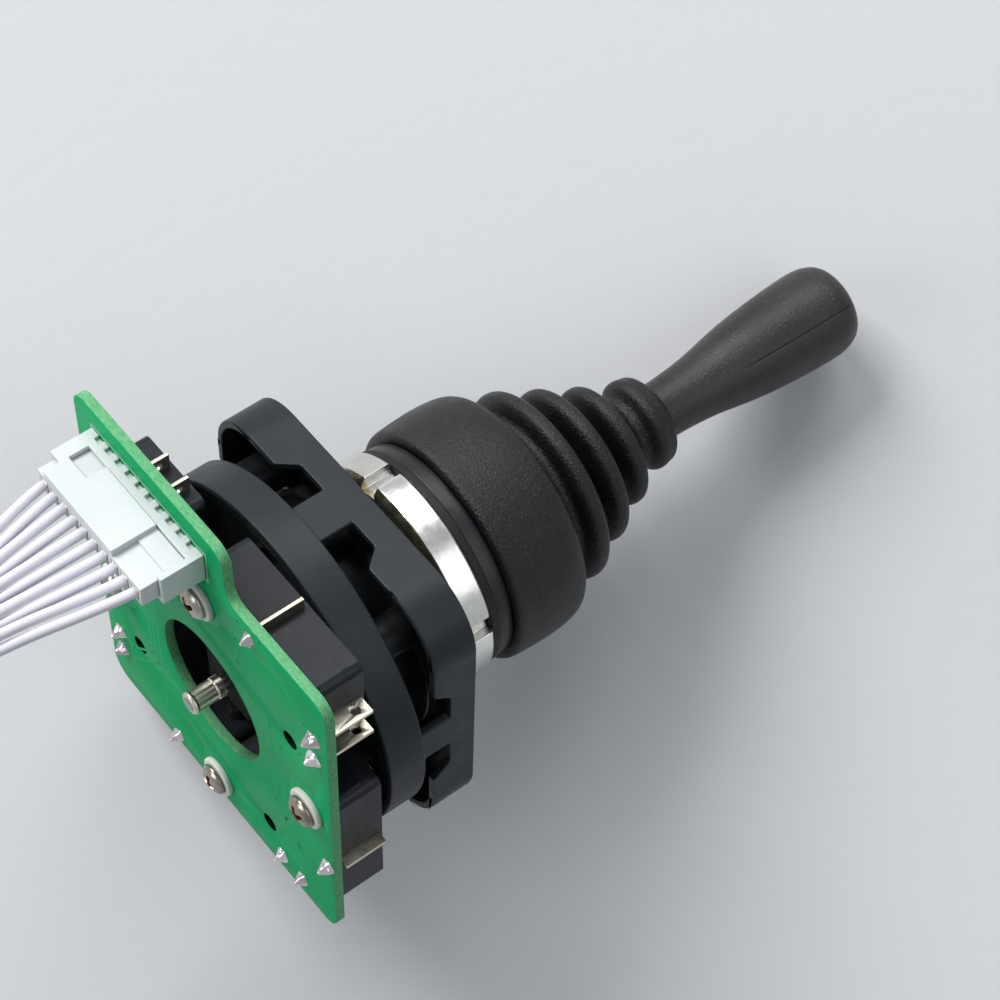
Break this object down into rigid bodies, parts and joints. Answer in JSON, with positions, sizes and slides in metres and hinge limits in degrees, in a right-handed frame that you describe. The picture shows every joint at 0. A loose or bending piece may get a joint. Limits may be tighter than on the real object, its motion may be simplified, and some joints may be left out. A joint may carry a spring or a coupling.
{
  "type": "panel joystick",
  "caption": "Panel-mount joystick with bellows boot, threaded barrel and ring nut, four snap-action switches on a circuit board and a white ten-wire lead on a plug",
  "frame": {"origin": "On the lever's axis, in the plane where the gasket's rear face meets the front of the panel", "axes": "+Z along the lever towards the grip, -Y towards the board's tab and the connector, +X to the right seen from the front with the tab down"},
  "size_m": [0.0608, 0.0721, 0.289],
  "materials": {
    "barrel": "black-plated zinc barrel and bezel",
    "gasket": "plain black rubber",
    "nut": "bright nickel-plated brass",
    "housing": "fine satin glass-filled plastic, blue-black",
    "screw": "passivated, faint yellow",
    "washer": "natural nylon",
    "board": "green solder mask on glass epoxy",
    "switch": "satin moulded phenolic, black",
    "plunger": "black acetal",
    "spring": "spring steel, bright",
    "terminal": "tinned brass blade",
    "solder": "tin solder, uneven and bright",
    "connector": "natural white nylon",
    "contact": "tinned bronze",
    "wire": "white insulation, semi-gloss",
    "steel": "turned steel",
    "grip": "fine spark texture, warm black",
    "boot": "matt black rubber with fine grain"
  },
  "bodies": {
    "base": {"barrel": "barrel", "panel_gasket": "gasket", "ring_nut": "nut", "mounting_frame": "housing", "switch_carrier": "housing", "board_screws": "screw", "board_washers": "washer", "frame_screws": "screw", "circuit_board": "board", "switch_case_1": "switch", "switch_cover_1": "switch", "snap_spring_1": "spring", "switch_case_2": "switch", "switch_cover_2": "switch", "snap_spring_2": "spring", "switch_case_3": "switch", "switch_cover_3": "switch", "snap_spring_3": "spring", "switch_case_4": "switch", "switch_cover_4": "switch", "snap_spring_4": "spring", "common_terminals": "terminal", "throw_terminals": "terminal", "solder_joints": "solder", "pin_header": "connector", "header_pins": "contact", "plug_housing": "connector", "crimp_contacts": "contact", "wire_01": "wire", "wire_02": "wire", "wire_03": "wire", "wire_04": "wire", "wire_05": "wire", "wire_06": "wire", "wire_07": "wire", "wire_08": "wire", "wire_09": "wire", "wire_10": "wire", "tinned_ends": "solder", "spring_cup": "steel", "return_spring": "spring", "boot": "boot"},
    "gimbal": {"gimbal_ring": "steel", "gimbal_pins": "steel"},
    "lever": {"lever_rod": "steel", "lever_pin": "steel", "actuator_cam": "plunger", "tail_ferrule": "contact", "handle_grip": "grip", "spring_washer": "steel", "retaining_clip": "spring"},
    "plunger_body_1": {"plunger_1": "plunger"},
    "plunger_body_2": {"plunger_2": "plunger"},
    "plunger_body_3": {"plunger_3": "plunger"},
    "plunger_body_4": {"plunger_4": "plunger"}
  },
  "joints": [
    {"name": "tilt_about_x", "type": "hinge", "parent": "base", "child": "gimbal", "pos_m": [0, 0, -0.008], "axis": [1, 0, 0], "range_deg": [-9, 9], "stiffness_Nm_per_rad": 2.5, "deforming": ["boot", "return_spring"]},
    {"name": "tilt_about_y", "type": "hinge", "parent": "gimbal", "child": "lever", "pos_m": [0, 0, -0.008], "axis": [0, 1, 0], "range_deg": [-9, 9], "stiffness_Nm_per_rad": 2.5, "deforming": ["boot", "return_spring"]},
    {"name": "plunger_1_press", "type": "slide", "parent": "base", "child": "plunger_body_1", "axis": [1, 0, 0], "range_m": [0, 0.0008], "stiffness_N_per_m": 400, "springref_m": -0.001},
    {"name": "plunger_2_press", "type": "slide", "parent": "base", "child": "plunger_body_2", "axis": [0, 1, 0], "range_m": [0, 0.0008], "stiffness_N_per_m": 400, "springref_m": -0.001},
    {"name": "plunger_3_press", "type": "slide", "parent": "base", "child": "plunger_body_3", "axis": [-1, 0, 0], "range_m": [0, 0.0008], "stiffness_N_per_m": 400, "springref_m": -0.001},
    {"name": "plunger_4_press", "type": "slide", "parent": "base", "child": "plunger_body_4", "axis": [0, -1, 0], "range_m": [0, 0.0008], "stiffness_N_per_m": 400, "springref_m": -0.001}
  ]
}
